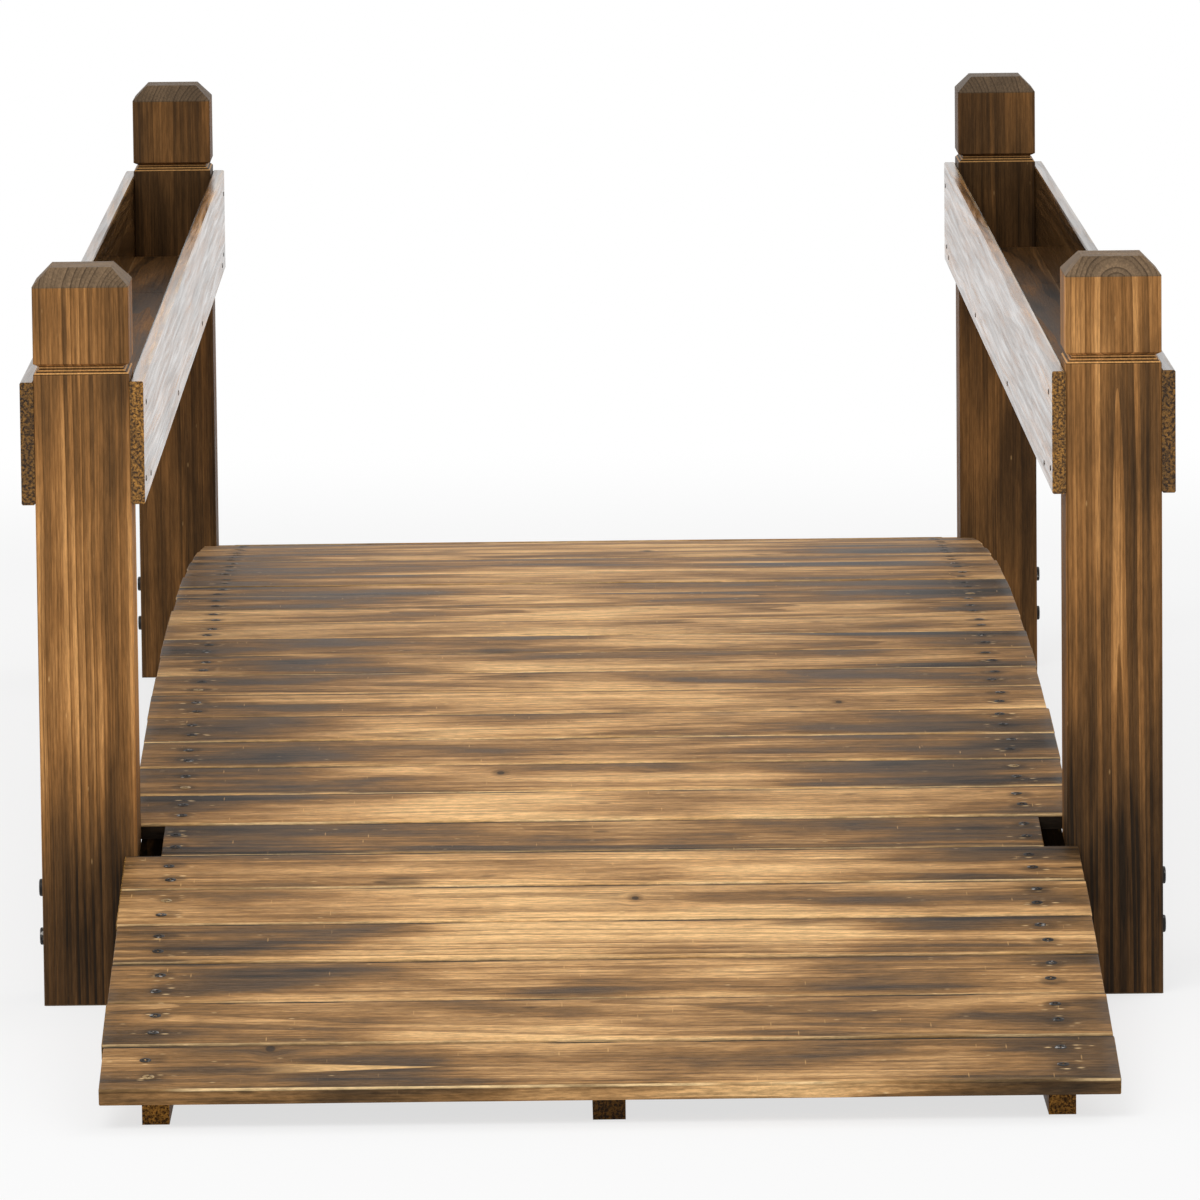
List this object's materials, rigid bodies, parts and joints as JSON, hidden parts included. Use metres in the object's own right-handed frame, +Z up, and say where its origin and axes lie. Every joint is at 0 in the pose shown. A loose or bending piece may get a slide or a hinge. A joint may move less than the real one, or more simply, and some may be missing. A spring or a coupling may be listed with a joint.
{
  "type": "arched wooden garden bridge with planter railings",
  "caption": "Low arched garden footbridge of crosswise planks on curved stringers, with square capped posts carrying planter-box railings.",
  "frame": {"origin": "on the ground under the middle of the bridge", "axes": "+Z up, +Y along the walkway towards the back, +X across it to the right"},
  "size_m": [0.673, 2.2592, 0.434],
  "materials": {
    "deck_wood": "scorched and oiled softwood, satin",
    "frame_wood": "dark scorched softwood, satin",
    "planter_wood": "scorched softwood, satin",
    "black_fixings": "black screws and bolt heads, satin"
  },
  "bodies": {
    "root": {"deck_plank_front_01": "deck_wood", "deck_plank_front_02": "deck_wood", "deck_plank_front_03": "deck_wood", "deck_plank_front_04": "deck_wood", "deck_plank_front_05": "deck_wood", "deck_plank_front_06": "deck_wood", "deck_plank_front_07": "deck_wood", "deck_plank_front_08": "deck_wood", "deck_plank_front_09": "deck_wood", "deck_plank_front_10": "deck_wood", "deck_plank_front_11": "deck_wood", "deck_plank_front_12": "deck_wood", "deck_plank_front_13": "deck_wood", "deck_plank_front_14": "deck_wood", "deck_plank_front_15": "deck_wood", "deck_plank_front_16": "deck_wood", "deck_plank_front_17": "deck_wood", "deck_plank_back_01": "deck_wood", "deck_plank_back_02": "deck_wood", "deck_plank_back_03": "deck_wood", "deck_plank_back_04": "deck_wood", "deck_plank_back_05": "deck_wood", "deck_plank_back_06": "deck_wood", "deck_plank_back_07": "deck_wood", "deck_plank_back_08": "deck_wood", "deck_plank_back_09": "deck_wood", "deck_plank_back_10": "deck_wood", "deck_plank_back_11": "deck_wood", "deck_plank_back_12": "deck_wood", "deck_plank_back_13": "deck_wood", "deck_plank_back_14": "deck_wood", "deck_plank_back_15": "deck_wood", "deck_plank_back_16": "deck_wood", "deck_plank_back_17": "deck_wood", "stringer_left": "frame_wood", "stringer_centre": "frame_wood", "stringer_right": "frame_wood", "post_front_left": "frame_wood", "post_front_right": "frame_wood", "post_back_left": "frame_wood", "post_back_right": "frame_wood", "post_spacers": "frame_wood", "planter_left_inner_board": "planter_wood", "planter_left_outer_board": "planter_wood", "planter_left_floor": "planter_wood", "planter_right_inner_board": "planter_wood", "planter_right_outer_board": "planter_wood", "planter_right_floor": "planter_wood"}
  },
  "joints": []
}
